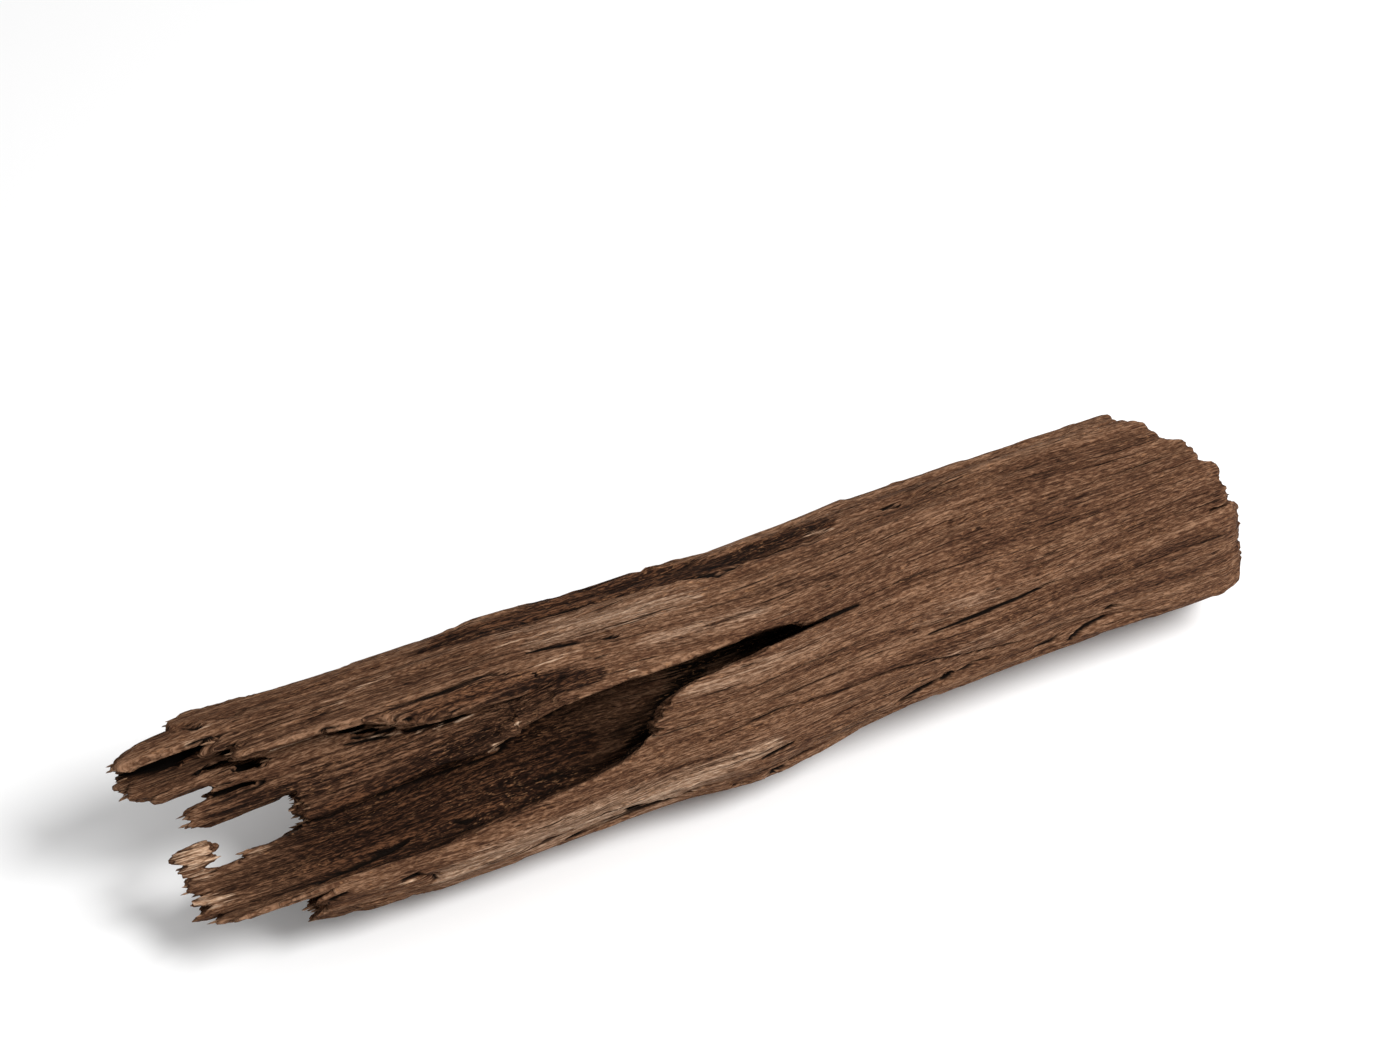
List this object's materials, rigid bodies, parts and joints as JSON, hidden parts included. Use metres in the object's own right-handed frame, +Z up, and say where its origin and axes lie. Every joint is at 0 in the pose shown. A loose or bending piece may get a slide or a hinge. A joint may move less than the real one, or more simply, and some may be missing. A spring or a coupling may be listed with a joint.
{
  "type": "piece of driftwood",
  "caption": "Weathered hollow branch lying on its side, split open along the grain, with a splintered end and a worn blunt end.",
  "frame": {"origin": "middle of the bounding box, at the height of the worn flat that the wood rests on", "axes": "+X along the grain from the splintered end to the blunt end, +Y across the grain away from the front, +Z up"},
  "size_m": [0.444, 0.0902, 0.0824],
  "materials": {
    "weathered_wood": "dry weathered brown wood, rough, with long grain, dark cracks and pale torn fibres"
  },
  "bodies": {
    "root": {"driftwood": "weathered_wood"}
  },
  "joints": []
}
